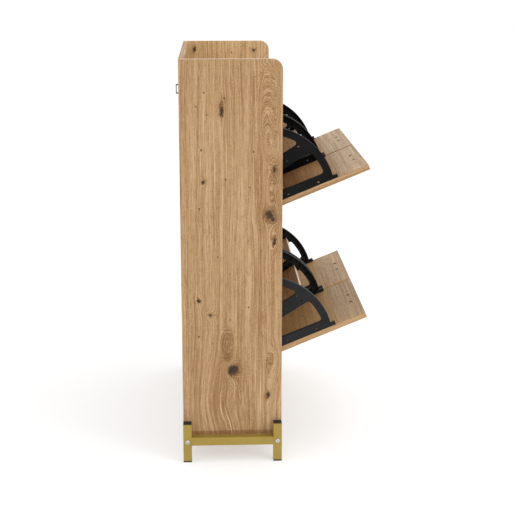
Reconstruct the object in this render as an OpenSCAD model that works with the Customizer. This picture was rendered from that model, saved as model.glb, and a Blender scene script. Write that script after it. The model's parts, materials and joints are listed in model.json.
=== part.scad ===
// Shoe cabinet with four flip-down drawers, a tray top, an open cubby and a square-tube base.
// X runs along the width, -Y is the front and +Z is up. The origin is on the floor, in the middle
// of the whole outline with the drawers open. They are drawn open, resting on their stop pegs.

/* [Cabinet] */
// Width over the two side panels
body_w = 800; // [720:10:960]
// Depth of the side panels
body_d = 295; // [290:1:320]
// Height from the floor to the top of the side panels
total_h = 1200; // [1196:1:1240]
// Radius of the side panels' top front corner
corner_r = 30; // [10:1:50]
// Height of the tray walls above the top board
tray_h = 71; // [65:1:73]

/* [Boards] */
// Thickness of the carcass boards and the doors
board_t = 15; // [15:1:16]
// Thickness of the partition between the two columns of drawers
partition_t = 12; // [12:1:16]
// Thickness of the back panel
back_t = 4; // [3:0.5:5]
// Height of the back rail
rail_h = 130; // [115:5:160]
// Height of the top surface of the shelf over the cubby
cubby_top = 217.5; // [205:0.5:218]
// Height of the top surface of the shelf between the two rows
mid_top = 661; // [640:1:662]

/* [Drawers] */
// Height of the lower row's pivot axis above the floor
pivot_low = 361; // [361:1:363]
// Distance between the two rows' pivot axes
row_pitch = 445; // [445:1:446]
// Distance of the pivot axes behind the cabinet's front
pivot_back = 45; // [44:1:48]
// Reach of a door above its pivot axis
door_up = 306; // [300:1:306]
// Reach of a door below its pivot axis
door_down = 134; // [125:1:134]
// Angle that a drawer tips forward from closed to open
open_angle = 67.6; // [45:0.1:70]
// Gap between a drawer and the walls beside it
side_gap = 1.5; // [1:0.1:2.5]
// Distance of the mid board's lower face from the pivot, measured along the base board
mid_foot = 46.5; // [44:0.5:50]
// Angle between the mid board and the door
mid_tilt = 10.4; // [6:0.1:14]
// Length of the mid board's slope, from the base board to its outer edge
mid_reach = 167; // [150:1:170]
// Depth of the base board behind the pivot axis
base_reach = 165; // [140:1:175]

/* [Side frames] */
// Outer radius of the quarter-round arc
arc_r = 200; // [190:1:200]
// Width of the arc
arc_w = 22; // [18:1:26]
// Width of the bar on the door and of the bar under the base board
bar_w = 26; // [22:1:28]
// Width of the bar that carries the mid board
mid_bar_w = 38; // [32:1:42]
// Thickness of a frame over its rims
frame_t = 13; // [11:1:15]
// Thickness of a frame's flat web and of its rims
web_t = 3; // [2:0.5:4]
// Radius of the window corners at the arc
window_r = 9; // [5:1:12]

/* [Handles] */
// Distance between the two handle screws
handle_span = 76; // [64:1:128]
// Distance of the handle screws from the door's upper edge
handle_inset = 28; // [22:1:60]
// Length of the handle bar
handle_w = 100; // [90:1:160]
// Height of the handle bar
handle_bar_h = 10; // [8:1:14]
// Thickness of the handle bar
handle_bar_t = 8; // [6:1:10]
// Clearance for the fingers behind the handle bar
handle_gap = 20; // [18:1:26]

/* [Base] */
// Side of the square tubes
tube = 25; // [22:1:30]
// Wall of the square tubes
tube_wall = 1.5; // [1:0.5:2]
// Height of the base rails' upper faces, on which the carcass stands
base_top = 78; // [70:1:80]
// Height of the legs
leg_h = 121; // [110:1:140]
// Thickness of the foot pads
pad_t = 4; // [3:1:6]
// Height of the bolts that join the legs and the long rails
bolt_z = 64; // [62:1:66]

/* [Hidden] */

OAK = [0.75, 0.60, 0.43];
OAK_INNER = [0.65, 0.57, 0.45];
BLACK = [0.13, 0.13, 0.14];
GOLD = [0.66, 0.56, 0.30];
STEEL = [0.76, 0.76, 0.78];
DARK_STEEL = [0.25, 0.25, 0.27];
BEECH = [0.85, 0.72, 0.52];

$fn = 64;
corner_fn = 128;
arc_fn = 180;
// Small overlap that joins two shapes, and how far a cut runs past a face
eps = 0.05;
over = 1;

LEFT = -1;
RIGHT = 1;
FRONT = -1;
REAR = 1;
LOWER = 0;
UPPER = 1;

// Carcass
front = -body_d / 2;
back = body_d / 2;
inner_x = body_w / 2 - board_t;
groove_play = 0.1;
groove_depth = 6;
back_inset = 2;
back_y = back - back_inset - back_t;
board_back = back_y - groove_play;
rail_y = back - board_t;
top_z = total_h - tray_h;
rail_z = total_h - rail_h;
door_clear = 2.5;
set_back = board_t + door_clear;
top_rail_h = 40;
top_rail_z = top_z - board_t - top_rail_h;
back_rise = 2;
back_tuck = 4;
back_low = base_top + back_rise;
back_high = rail_z + back_tuck;

// Drawers, each in its own closed position with the pivot axis at the origin
bay_w = inner_x - partition_t / 2;
bay_x = (inner_x + partition_t / 2) / 2;
door_w = bay_w - 2 * side_gap;
pivot_y = front + pivot_back;
door_in = pivot_back - board_t;
board_w = door_w - 2 * frame_t;
base_low = -7;
hub_r = 17;
bar_low = -40;
tail_low = -15;
tail_high = tail_low + bar_w;
tab_end = 212;
tab_t = 9.5;
mid_edge = mid_foot * cos(mid_tilt);
mid_lip = 7;
bar_edge = mid_edge - mid_lip;
mid_gap = 12;
lug_r = 212;
lug_top = -3;
stop_gap = 0.4;
fillet_lap = 0.3;
fillet_past = 1.01;
bar_lap = 10;
rim_lap = 8;
tab_lap = 14;
boss_r = 5.5;
rib_t = 2;
rib_turns = [2 : 11 : 90];
rib_steps = [26 : 15 : 160];

// Fittings
pin_r = 4;
pin_play = 0.05;
bush_r = 6;
bush_l = 9;
pin_in_panel = 8;
pin_in_partition = 4.8;
peg_r = 4;
peg_out = 10;
peg_in = 10;
peg_shift = 1.5;
screw_r = 1.75;
screw_head_r = 3.5;
screw_head_t = 1.8;
screw_in_board = 22;
door_screw_z = [-28, 60, 153];
door_screw_x = 8;
door_screw_in = 10;
access_r = 3.5;
access_gap = 1;
spare_r = 2.5;
spare_holes = [[97, 138], [79, 145]];
mid_screws = [48, 104];
base_screws = [62, 128];
handle_screw_r = 2;
handle_head_r = 4;
handle_recess_r = 4.5;
handle_recess = 3;
handle_head_sunk = 1;
handle_screw_in = 12;
handle_bore = 13;
post_r = 4.5;
cam_r = 7.5;
cam_l = 12;
cam_inset = 24;
cam_bolt_r = 3;
dowel_r = 4;
dowel_in = 10;
dowel_l = 28;
cam_y = [-95, 105];
dowel_y = 5;
partition_dowel_y = [-70, 80];
partition_dowel_in = 7;
shelf_z = [base_top, cubby_top - board_t, mid_top - board_t, top_z - board_t];
bumper_r = 5;
bumper_t = 2;
bumper_x = 120;
bolt_r = 3;
bolt_head_r = 6.8;
bolt_head_t = 3.5;
bolt_in_rail = 20;
panel_screw_past = 2;
hole_play = 0.1;
panel_screw_z = 105;
panel_screw_r = 2;
panel_screw_head_r = 4.5;
panel_screw_head_t = 2.5;
plate_t = 3;
plug_t = 1.5;
spigot_l = 12;
leg_y = body_d / 2 - tube / 2;
leg_x = body_w / 2 + tube / 2;
bracket_x = 350;
bracket_z = 1112;
bracket_w = 16;
bracket_t = 2;
bracket_out = 8;
bracket_half = 13;
bracket_flange = 16;
bracket_hole_r = 2.75;
bracket_screw_end = 3;

// Middle of the outline from the open doors' edges to the wall brackets
door_edge_y = pivot_y - pivot_back * cos(open_angle) - door_up * sin(open_angle);
middle_y = (door_edge_y + back + bracket_out) / 2;

// ---- shared shapes ----

// A cylinder along X, from x0 to x1
module rod_x(x0, x1, r) {
    translate([min(x0, x1), 0, 0])
        rotate([0, 90, 0])
            cylinder(r = r, h = abs(x1 - x0));
}

// A cylinder along Y, from y0 to y1
module rod_y(y0, y1, r) {
    translate([0, max(y0, y1), 0])
        rotate([90, 0, 0])
            cylinder(r = r, h = abs(y1 - y0));
}

// A board that fills the space between two corners
module board(low, high) {
    translate(low)
        cube(high - low);
}

// Moves a shape from the carcass's own middle to the origin
module at_origin() {
    translate([0, -middle_y, 0])
        children();
}

// Places a drawer's closed shape at its row and column, tipped open
module at_drawer(row, side) {
    at_origin()
        translate([side * bay_x, pivot_y, pivot_low + row * row_pitch])
            rotate([open_angle, 0, 0])
                children();
}

// Places a shape at a row's stop peg
module at_peg(row) {
    translate([0, pivot_y, pivot_low + row * row_pitch])
        rotate([open_angle, 0, 0])
            translate([0, (lug_r + arc_r) / 2 + peg_shift, lug_top + stop_gap + peg_r])
                children();
}

// Places a shape at the sides of the bay: its own X starts at the frame's outer face
module at_frame(side) {
    mirror([side > 0 ? 1 : 0, 0, 0])
        translate([-door_w / 2, 0, 0])
            children();
}

// ---- carcass ----

module side_outline() {
    difference() {
        translate([front, base_top])
            square([body_d, total_h - base_top]);
        translate([front, total_h - corner_r])
            difference() {
                translate([-over, 0])
                    square([corner_r + over, corner_r + over]);
                translate([corner_r, 0])
                    circle(r = corner_r, $fn = corner_fn);
            }
    }
}

// Holes that the shelf ends need in a side panel; X = 0 is the panel's inner face
module end_holes() {
    for (z = shelf_z) {
        for (y = cam_y)
            translate([0, y, z + board_t / 2])
                rod_x(-over, dowel_in, cam_bolt_r);
        translate([0, dowel_y, z + board_t / 2])
            rod_x(-over, dowel_in, dowel_r);
    }
}

module pivot_holes(x0, x1) {
    for (row = [LOWER, UPPER])
        translate([0, pivot_y, pivot_low + row * row_pitch])
            rod_x(x0, x1, bush_r);
}

module peg_holes(x0, x1) {
    for (row = [LOWER, UPPER])
        at_peg(row)
            rod_x(x0, x1, peg_r);
}

module panel_screw_holes() {
    for (y = [-leg_y, leg_y])
        translate([0, y, panel_screw_z]) {
            rod_x(-over, board_t + over, panel_screw_r + hole_play);
            rod_x(-over, panel_screw_head_t, panel_screw_head_r);
        }
}

module side_panel(side) {
    color(OAK)
        at_origin()
            mirror([side < 0 ? 1 : 0, 0, 0])
                translate([inner_x, 0, 0])
                    difference() {
                        rotate([90, 0, 90])
                            linear_extrude(board_t)
                                side_outline();
                        end_holes();
                        pivot_holes(-over, bush_l);
                        peg_holes(-over, peg_in);
                        panel_screw_holes();
                        board([-over, board_back, 0], [groove_depth + groove_play,
                            back_y + back_t + groove_play, back_high + groove_play]);
                    }
}

module partition_dowel_holes(z) {
    for (y = partition_dowel_y)
        translate([0, y, z - (dowel_l - partition_dowel_in)])
            cylinder(r = dowel_r, h = 2 * (dowel_l - partition_dowel_in));
}

module partition_upper() {
    half = partition_t / 2;
    color(OAK)
        at_origin()
            difference() {
                union() {
                    board([-half, front, mid_top], [half, board_back, rail_z]);
                    board([-half, front, rail_z], [half, rail_y, top_z - board_t]);
                }
                board([-half - over, front + set_back, top_rail_z],
                    [half + over, front + set_back + board_t, top_z]);
                pivot_holes(-half - over, half + over);
                peg_holes(-half - over, half + over);
                partition_dowel_holes(mid_top);
                partition_dowel_holes(top_z - board_t);
            }
}

module partition_lower() {
    half = partition_t / 2;
    color(OAK)
        at_origin()
            difference() {
                union() {
                    board([-half, front, cubby_top], [half, board_back, mid_top - board_t]);
                    board([-half, front, mid_top - board_t], [half, front + set_back, mid_top]);
                }
                pivot_holes(-half - over, half + over);
                peg_holes(-half - over, half + over);
                partition_dowel_holes(cubby_top);
                partition_dowel_holes(mid_top - board_t);
            }
}

// Bores in a shelf with its underside at z = 0, at both of its ends
module shelf_bores() {
    for (side = [LEFT, RIGHT])
        mirror([side < 0 ? 1 : 0, 0, 0]) {
            for (y = cam_y)
                translate([inner_x - cam_inset, y, 0]) {
                    translate([0, 0, -over])
                        cylinder(r = cam_r, h = cam_l + over);
                    translate([0, 0, board_t / 2])
                        rod_x(0, cam_inset + over, cam_bolt_r);
                }
            translate([inner_x, dowel_y, board_t / 2])
                rod_x(dowel_in - dowel_l, over, dowel_r);
        }
}

module shelf(z, y0, y1) {
    translate([0, 0, z])
        difference() {
            board([-inner_x, y0, 0], [inner_x, y1, board_t]);
            shelf_bores();
            children();
        }
}

// A dowel's two blind holes in a shelf, one row under the upper or over the lower partition
module shelf_dowel_holes(over, under) {
    for (y = partition_dowel_y) {
        if (over)
            translate([0, y, board_t - partition_dowel_in])
                cylinder(r = dowel_r, h = dowel_l);
        if (under)
            translate([0, y, partition_dowel_in - dowel_l])
                cylinder(r = dowel_r, h = dowel_l);
    }
}

module top_board() {
    color(OAK)
        at_origin()
            shelf(top_z - board_t, front, rail_y)
                shelf_dowel_holes(false, true);
}

module bottom_board() {
    color(OAK)
        at_origin()
            shelf(base_top, front, board_back);
}

module mid_shelf() {
    color(OAK)
        at_origin()
            shelf(mid_top - board_t, front + set_back, board_back)
                shelf_dowel_holes(true, true);
}

module cubby_shelf() {
    color(OAK)
        at_origin()
            shelf(cubby_top - board_t, front, board_back)
                shelf_dowel_holes(true, false);
}

module back_rail() {
    color(OAK)
        at_origin()
            difference() {
                board([-inner_x, rail_y, rail_z], [inner_x, back, total_h]);
                board([-inner_x - over, board_back, rail_z - over],
                    [inner_x + over, back_y + back_t + groove_play, back_high + groove_play]);
                for (side = [LEFT, RIGHT])
                    translate([side * bracket_x, 0, bracket_z]) {
                        bracket_pocket();
                        bracket_screws();
                    }
            }
}

module top_rail() {
    color(OAK)
        at_origin()
            board([-inner_x, front + set_back, top_rail_z],
                [inner_x, front + set_back + board_t, top_z - board_t]);
}

module back_panel() {
    color(OAK_INNER)
        at_origin()
            board([-inner_x - groove_depth, back_y, back_low],
                [inner_x + groove_depth, back_y + back_t, back_high]);
}

// ---- base ----

// A square tube along Z with its lower end at the origin
module square_tube(h) {
    inner = tube - 2 * tube_wall;
    difference() {
        translate([-tube / 2, -tube / 2, 0])
            cube([tube, tube, h]);
        translate([-inner / 2, -inner / 2, -over])
            cube([inner, inner, h + 2 * over]);
    }
}

module leg(side, end) {
    color(GOLD)
        at_origin()
            mirror([side < 0 ? 1 : 0, 0, 0])
                translate([leg_x, end * leg_y, 0])
                    difference() {
                        translate([0, 0, pad_t])
                            square_tube(leg_h - pad_t - plug_t);
                        translate([0, 0, bolt_z])
                            rod_x(-tube, tube, bolt_r + hole_play);
                        translate([0, 0, panel_screw_z])
                            rod_x(-tube, 0, panel_screw_r + hole_play);
                    }
}

module crossbar(side) {
    bar_l = body_d - 2 * tube;
    color(GOLD)
        at_origin()
            translate([side * leg_x, bar_l / 2, base_top - tube / 2])
                rotate([90, 0, 0])
                    square_tube(bar_l);
}

// A long rail between two legs, closed at both ends by plates that take the bolts
module long_rail(end) {
    inner = tube - 2 * tube_wall;
    color(GOLD)
        at_origin()
            translate([0, end * leg_y, base_top - tube / 2])
                difference() {
                    board([-body_w / 2, -tube / 2, -tube / 2], [body_w / 2, tube / 2, tube / 2]);
                    board([plate_t - body_w / 2, -inner / 2, -inner / 2],
                        [body_w / 2 - plate_t, inner / 2, inner / 2]);
                    translate([0, 0, bolt_z - base_top + tube / 2])
                        rod_x(-body_w, body_w, bolt_r);
                }
}

module each_leg() {
    for (side = [LEFT, RIGHT], end = [FRONT, REAR])
        mirror([side < 0 ? 1 : 0, 0, 0])
            translate([leg_x, end * leg_y, 0])
                children();
}

// A plastic insert: a plate as wide as the tube and a spigot inside it
module tube_insert(t) {
    spigot = tube - 2 * tube_wall - 2 * hole_play;
    translate([-tube / 2, -tube / 2, 0])
        cube([tube, tube, t]);
    translate([-spigot / 2, -spigot / 2, t - eps])
        cube([spigot, spigot, spigot_l]);
}

module leg_plugs() {
    color(BLACK)
        at_origin()
            each_leg()
                translate([0, 0, leg_h])
                    mirror([0, 0, 1])
                        tube_insert(plug_t);
}

module foot_pads() {
    color(BLACK)
        at_origin()
            each_leg()
                tube_insert(pad_t);
}

module frame_bolts() {
    color(STEEL)
        at_origin()
            each_leg() {
                translate([0, 0, bolt_z]) {
                    rod_x(-tube / 2 - bolt_in_rail, tube / 2 + eps, bolt_r);
                    rod_x(tube / 2, tube / 2 + bolt_head_t, bolt_head_r);
                }
                translate([-tube / 2, 0, panel_screw_z]) {
                    rod_x(-board_t, -board_t + panel_screw_head_t - hole_play,
                        panel_screw_head_r - hole_play);
                    rod_x(-board_t + hole_play, tube_wall + panel_screw_past, panel_screw_r);
                }
            }
}

// ---- fittings of the carcass ----

module cam_fittings() {
    color(STEEL)
        at_origin()
            for (side = [LEFT, RIGHT], z = shelf_z, y = cam_y)
                mirror([side < 0 ? 1 : 0, 0, 0])
                    translate([inner_x - cam_inset, y, z]) {
                        cam_lock();
                        translate([0, 0, board_t / 2])
                            rod_x(cam_r, cam_inset + dowel_in, cam_bolt_r);
                    }
}

// A cam lock with a cross slot in its lower face
module cam_lock() {
    slot_w = 2;
    slot_l = 9;
    slot_h = 2.5;
    difference() {
        cylinder(r = cam_r, h = cam_l);
        for (turn = [0, 90])
            rotate([0, 0, turn])
                board([-slot_l / 2, -slot_w / 2, -over], [slot_l / 2, slot_w / 2, slot_h]);
    }
}

module dowels() {
    color(BEECH)
        at_origin() {
            for (side = [LEFT, RIGHT], z = shelf_z)
                mirror([side < 0 ? 1 : 0, 0, 0])
                    translate([inner_x, dowel_y, z + board_t / 2])
                        rod_x(dowel_in - dowel_l, dowel_in, dowel_r);
            for (y = partition_dowel_y) {
                for (z = [cubby_top, mid_top])
                    translate([0, y, z - partition_dowel_in])
                        cylinder(r = dowel_r, h = dowel_l);
                for (z = [mid_top - board_t, top_z - board_t])
                    translate([0, y, z + partition_dowel_in - dowel_l])
                        cylinder(r = dowel_r, h = dowel_l);
            }
        }
}

module bush(x0, x1) {
    difference() {
        rod_x(x0, x1, bush_r);
        rod_x(x0 - over, x1 + over, pin_r + pin_play);
    }
}

module pivot_bushes() {
    color(BLACK)
        at_origin()
            for (row = [LOWER, UPPER])
                translate([0, pivot_y, pivot_low + row * row_pitch]) {
                    bush(-partition_t / 2, partition_t / 2);
                    bush(inner_x, inner_x + bush_l);
                    bush(-inner_x - bush_l, -inner_x);
                }
}

module stop_pegs() {
    color(STEEL)
        at_origin()
            for (row = [LOWER, UPPER])
                at_peg(row) {
                    rod_x(-partition_t / 2 - peg_out, partition_t / 2 + peg_out, peg_r);
                    rod_x(inner_x - peg_out, inner_x + peg_in, peg_r);
                    rod_x(-inner_x - peg_in, peg_out - inner_x, peg_r);
                }
}

module door_bumpers() {
    levels = [mid_top - board_t / 2, top_rail_z + top_rail_h / 2];
    color(BLACK)
        at_origin()
            for (side = [LEFT, RIGHT], x = [-bumper_x, bumper_x], z = levels)
                translate([side * bay_x + x, front + set_back, z])
                    rod_y(-bumper_t, 0, bumper_r);
}

// The bent strip's outline, seen along X; its two flanges lie flush in the rail
module bracket_outline() {
    inner = bracket_half - bracket_t;
    end = bracket_half + bracket_flange;
    for (up = [0, 1])
        mirror([0, up])
            polygon([
                [bracket_out - bracket_t, -eps], [bracket_out, -eps], [bracket_out, bracket_half],
                [0, bracket_half], [0, end], [-bracket_t, end], [-bracket_t, inner],
                [bracket_out - bracket_t, inner]
            ]);
}

module bracket_pocket() {
    half_w = bracket_w / 2 + hole_play;
    half_h = bracket_half + bracket_flange + hole_play;
    board([-half_w, back - bracket_t, -half_h], [half_w, back + over, half_h]);
}

// Countersunk screws through the strip's flanges
module bracket_screws() {
    for (up = [-1, 1])
        translate([0, back, up * (bracket_half + bracket_flange / 2)]) {
            rod_y(bracket_screw_end - board_t, eps - bracket_t, screw_r);
            translate([0, -bracket_t, 0])
                rotate([-90, 0, 0])
                    cylinder(r1 = screw_r, r2 = screw_head_r, h = bracket_t);
        }
}

module wall_brackets() {
    color(DARK_STEEL)
        at_origin()
            for (side = [LEFT, RIGHT])
                translate([side * bracket_x, 0, bracket_z]) {
                    difference() {
                        translate([-bracket_w / 2, back, 0])
                            rotate([90, 0, 90])
                                linear_extrude(bracket_w)
                                    bracket_outline();
                        rod_y(back + over, back + bracket_out + over, bracket_hole_r);
                        bracket_screws();
                    }
                    bracket_screws();
                }
}

// ---- drawers: shapes in the closed position, X across, Y back from the pivot, Z up ----

module door_shape() {
    difference() {
        board([-door_w / 2, -pivot_back, -door_down], [door_w / 2, -door_in, door_up]);
        for (side = [LEFT, RIGHT]) {
            translate([side * handle_span / 2, 0, door_up - handle_inset]) {
                rod_y(-pivot_back - over, -door_in, handle_screw_r);
                rod_y(-door_in - handle_recess, over - door_in, handle_recess_r);
            }
            at_frame(side)
                for (z = door_screw_z)
                    translate([door_screw_x, -door_in, z])
                        rod_y(-door_screw_in, over, screw_r);
        }
    }
}

module door(row, side) {
    color(OAK_INNER)
        at_drawer(row, side)
            door_shape();
}

// The frame is drawn flat: X runs back from the pivot and Y runs up along the door
module quarter_ring(r_in, r_out) {
    intersection() {
        difference() {
            circle(r = r_out, $fn = arc_fn);
            circle(r = r_in, $fn = arc_fn);
        }
        translate([-door_in, tail_low])
            square([arc_r + door_in, arc_r - tail_low]);
    }
}

// Rounds the window corner between the arc and a bar whose edge is the line X = edge
module arc_fillet(edge) {
    ring = arc_r - arc_w;
    cx = edge + window_r;
    reach = ring - window_r + fillet_lap;
    cy = sqrt(reach * reach - cx * cx);
    grow = fillet_past * ring / reach;
    difference() {
        polygon([[edge - over, cy], [cx, cy], grow * [cx, cy],
            [edge - over, sqrt(ring * ring - edge * edge) + 2 * over]]);
        translate([cx, cy])
            circle(r = window_r);
    }
}

module window_fillets() {
    arc_fillet(bar_w - door_in);
    rotate(-mid_tilt) {
        mirror([1, 0])
            arc_fillet(-bar_edge);
        arc_fillet(bar_edge + mid_bar_w);
    }
    mirror([1, -1])
        arc_fillet(tail_high);
}

// The slope that carries the mid board, in a plane turned by the mid board's tilt
module mid_strip(x0, x1) {
    intersection() {
        rotate(-mid_tilt)
            translate([bar_edge + x0, 0])
                square([x1 - x0, arc_r]);
        circle(r = arc_r - arc_w + over, $fn = arc_fn);
        translate([0, tail_high - over])
            square(arc_r);
    }
}

module end_tab() {
    translate([-door_in, arc_r - tab_lap])
        square([tab_t, tab_end - arc_r + tab_lap]);
}

module stop_lug() {
    translate([arc_r - rim_lap, tail_low])
        square([lug_r - arc_r + rim_lap, lug_top - tail_low]);
}

module screw_bosses() {
    rotate(-mid_tilt)
        for (y = mid_screws)
            translate([mid_edge + board_t / 2, y])
                circle(r = boss_r);
    for (x = base_screws)
        translate([x, base_low + board_t / 2])
            circle(r = boss_r);
}

module frame_outline() {
    quarter_ring(arc_r - arc_w, arc_r);
    circle(r = hub_r);
    translate([-door_in, bar_low])
        square([bar_w, arc_r - bar_lap - bar_low]);
    translate([0, tail_low])
        square([arc_r - bar_lap, bar_w]);
    mid_strip(0, mid_bar_w);
    window_fillets();
    end_tab();
    stop_lug();
}

module frame_rims() {
    ring = arc_r - arc_w;
    bar_l = arc_r - bar_lap - bar_low;
    quarter_ring(arc_r - web_t, arc_r);
    quarter_ring(ring, ring + web_t);
    circle(r = hub_r);
    for (x = [-door_in, bar_w - web_t - door_in])
        translate([x, bar_low])
            square([web_t, bar_l]);
    translate([-door_in, bar_low])
        square([bar_w, web_t]);
    for (y = [tail_low, tail_high - web_t])
        translate([0, y])
            square([arc_r - rim_lap, web_t]);
    mid_strip(0, web_t);
    mid_strip(mid_bar_w - web_t, mid_bar_w);
    window_fillets();
    end_tab();
    stop_lug();
    screw_bosses();
    frame_ribs();
}

// Thin cross ribs inside the channels of the arc and of the mid bar
module frame_ribs() {
    for (turn = rib_turns)
        intersection() {
            rotate(-turn)
                translate([-rib_t / 2, 0])
                    square([rib_t, arc_r - over]);
            quarter_ring(arc_r - arc_w, arc_r);
        }
    rotate(-mid_tilt)
        for (y = rib_steps)
            translate([bar_edge, y])
                square([mid_bar_w, rib_t]);
}

module frame_shape() {
    difference() {
        rotate([90, 0, 90]) {
            linear_extrude(web_t)
                frame_outline();
            linear_extrude(frame_t)
                frame_rims();
        }
        rod_x(-over, frame_t + over, pin_r);
        for (p = spare_holes)
            translate([0, p[0], p[1]])
                rod_x(-over, frame_t + over, spare_r);
        for (z = door_screw_z) {
            translate([0, -door_in + web_t + access_r + access_gap, z])
                rod_x(-over, web_t + over, access_r);
            translate([door_screw_x, -door_in, z])
                rod_y(-over, web_t + over, screw_r);
        }
        board_screws(hole_play);
    }
}

// Countersunk screws that hold the mid and base boards; they start at the frame's outer face
module board_screws(play) {
    rotate([-mid_tilt, 0, 0])
        for (z = mid_screws)
            translate([0, mid_edge + board_t / 2, z])
                board_screw(play);
    for (y = base_screws)
        translate([0, y, base_low + board_t / 2])
            board_screw(play);
}

module board_screw(play) {
    rod_x(play > 0 ? -over : 0, screw_head_t, screw_head_r + play);
    rod_x(screw_head_t - eps, frame_t + screw_in_board, screw_r);
}

module frame(row, side, end) {
    color(BLACK)
        at_drawer(row, side)
            at_frame(end)
                frame_shape();
}

module board_with_holes(play) {
    difference() {
        children();
        for (end = [LEFT, RIGHT])
            at_frame(end)
                board_screws(play);
    }
}

module mid_board(row, side) {
    start = (base_low + board_t) / cos(mid_tilt) + mid_gap;
    color(OAK_INNER)
        at_drawer(row, side)
            board_with_holes(0)
                rotate([-mid_tilt, 0, 0])
                    board([-board_w / 2, mid_edge, start],
                        [board_w / 2, mid_edge + board_t, mid_reach]);
}

module base_board(row, side) {
    color(OAK_INNER)
        at_drawer(row, side)
            board_with_holes(0)
                board([-board_w / 2, -door_in, base_low],
                    [board_w / 2, base_reach, base_low + board_t]);
}

module handle(row, side) {
    bar_y = -pivot_back - handle_gap;
    color(GOLD)
        at_drawer(row, side)
            translate([0, 0, door_up - handle_inset])
                difference() {
                    union() {
                        board([-handle_w / 2, bar_y - handle_bar_t, -handle_bar_h / 2],
                            [handle_w / 2, bar_y, handle_bar_h / 2]);
                        for (x = [-handle_span / 2, handle_span / 2])
                            translate([x, 0, 0])
                                rod_y(bar_y - eps, -pivot_back, post_r);
                    }
                    for (x = [-handle_span / 2, handle_span / 2])
                        translate([x, 0, 0])
                            rod_y(-pivot_back - handle_bore, over - pivot_back, handle_screw_r);
                }
}

module pivot_pins(row, side) {
    color(STEEL)
        at_drawer(row, side)
            for (end = [LEFT, RIGHT]) {
                reach = end == side ? pin_in_panel : pin_in_partition;
                at_frame(end)
                    rod_x(-side_gap - reach, frame_t, pin_r);
            }
}

module drawer_screws(row, side) {
    color(DARK_STEEL)
        at_drawer(row, side)
            for (end = [LEFT, RIGHT]) {
                translate([end * handle_span / 2, 0, door_up - handle_inset]) {
                    rod_y(-door_in - handle_recess, -door_in - handle_head_sunk, handle_head_r);
                    rod_y(-pivot_back - handle_screw_in, -door_in - handle_recess + eps, handle_screw_r);
                }
                at_frame(end) {
                    board_screws(0);
                    for (z = door_screw_z)
                        translate([door_screw_x, -door_in, z]) {
                            rod_y(-door_screw_in, web_t + eps, screw_r);
                            rod_y(web_t, web_t + screw_head_t, screw_head_r);
                        }
                }
            }
}

side_panel(LEFT);  // side_panel_left
side_panel(RIGHT);  // side_panel_right
partition_upper();
partition_lower();
top_board();
bottom_board();
back_rail();
mid_shelf();
cubby_shelf();
top_rail();
back_panel();
leg(LEFT, FRONT);  // leg_front_left
leg(RIGHT, FRONT);  // leg_front_right
leg(LEFT, REAR);  // leg_rear_left
leg(RIGHT, REAR);  // leg_rear_right
crossbar(LEFT);  // crossbar_left
crossbar(RIGHT);  // crossbar_right
long_rail(FRONT);  // rail_front
long_rail(REAR);  // rail_rear
leg_plugs();
foot_pads();
frame_bolts();
cam_fittings();
dowels();
pivot_bushes();
stop_pegs();
door_bumpers();
wall_brackets();
door(UPPER, LEFT);  // upper_left_door
frame(UPPER, LEFT, LEFT);  // upper_left_frame_l
frame(UPPER, LEFT, RIGHT);  // upper_left_frame_r
mid_board(UPPER, LEFT);  // upper_left_mid_board
base_board(UPPER, LEFT);  // upper_left_base_board
handle(UPPER, LEFT);  // upper_left_handle
pivot_pins(UPPER, LEFT);  // upper_left_pivot_pins
drawer_screws(UPPER, LEFT);  // upper_left_screws
door(UPPER, RIGHT);  // upper_right_door
frame(UPPER, RIGHT, LEFT);  // upper_right_frame_l
frame(UPPER, RIGHT, RIGHT);  // upper_right_frame_r
mid_board(UPPER, RIGHT);  // upper_right_mid_board
base_board(UPPER, RIGHT);  // upper_right_base_board
handle(UPPER, RIGHT);  // upper_right_handle
pivot_pins(UPPER, RIGHT);  // upper_right_pivot_pins
drawer_screws(UPPER, RIGHT);  // upper_right_screws
door(LOWER, LEFT);  // lower_left_door
frame(LOWER, LEFT, LEFT);  // lower_left_frame_l
frame(LOWER, LEFT, RIGHT);  // lower_left_frame_r
mid_board(LOWER, LEFT);  // lower_left_mid_board
base_board(LOWER, LEFT);  // lower_left_base_board
handle(LOWER, LEFT);  // lower_left_handle
pivot_pins(LOWER, LEFT);  // lower_left_pivot_pins
drawer_screws(LOWER, LEFT);  // lower_left_screws
door(LOWER, RIGHT);  // lower_right_door
frame(LOWER, RIGHT, LEFT);  // lower_right_frame_l
frame(LOWER, RIGHT, RIGHT);  // lower_right_frame_r
mid_board(LOWER, RIGHT);  // lower_right_mid_board
base_board(LOWER, RIGHT);  // lower_right_base_board
handle(LOWER, RIGHT);  // lower_right_handle
pivot_pins(LOWER, RIGHT);  // lower_right_pivot_pins
drawer_screws(LOWER, RIGHT);  // lower_right_screws
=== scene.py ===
"""Looks of the shoe cabinet: foil, plastic, lacquer and metal materials, eased edges, turned
screws and bolts, and the studio around it. All lengths are in metres, in the frame of the parts."""

import json
import math

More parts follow.
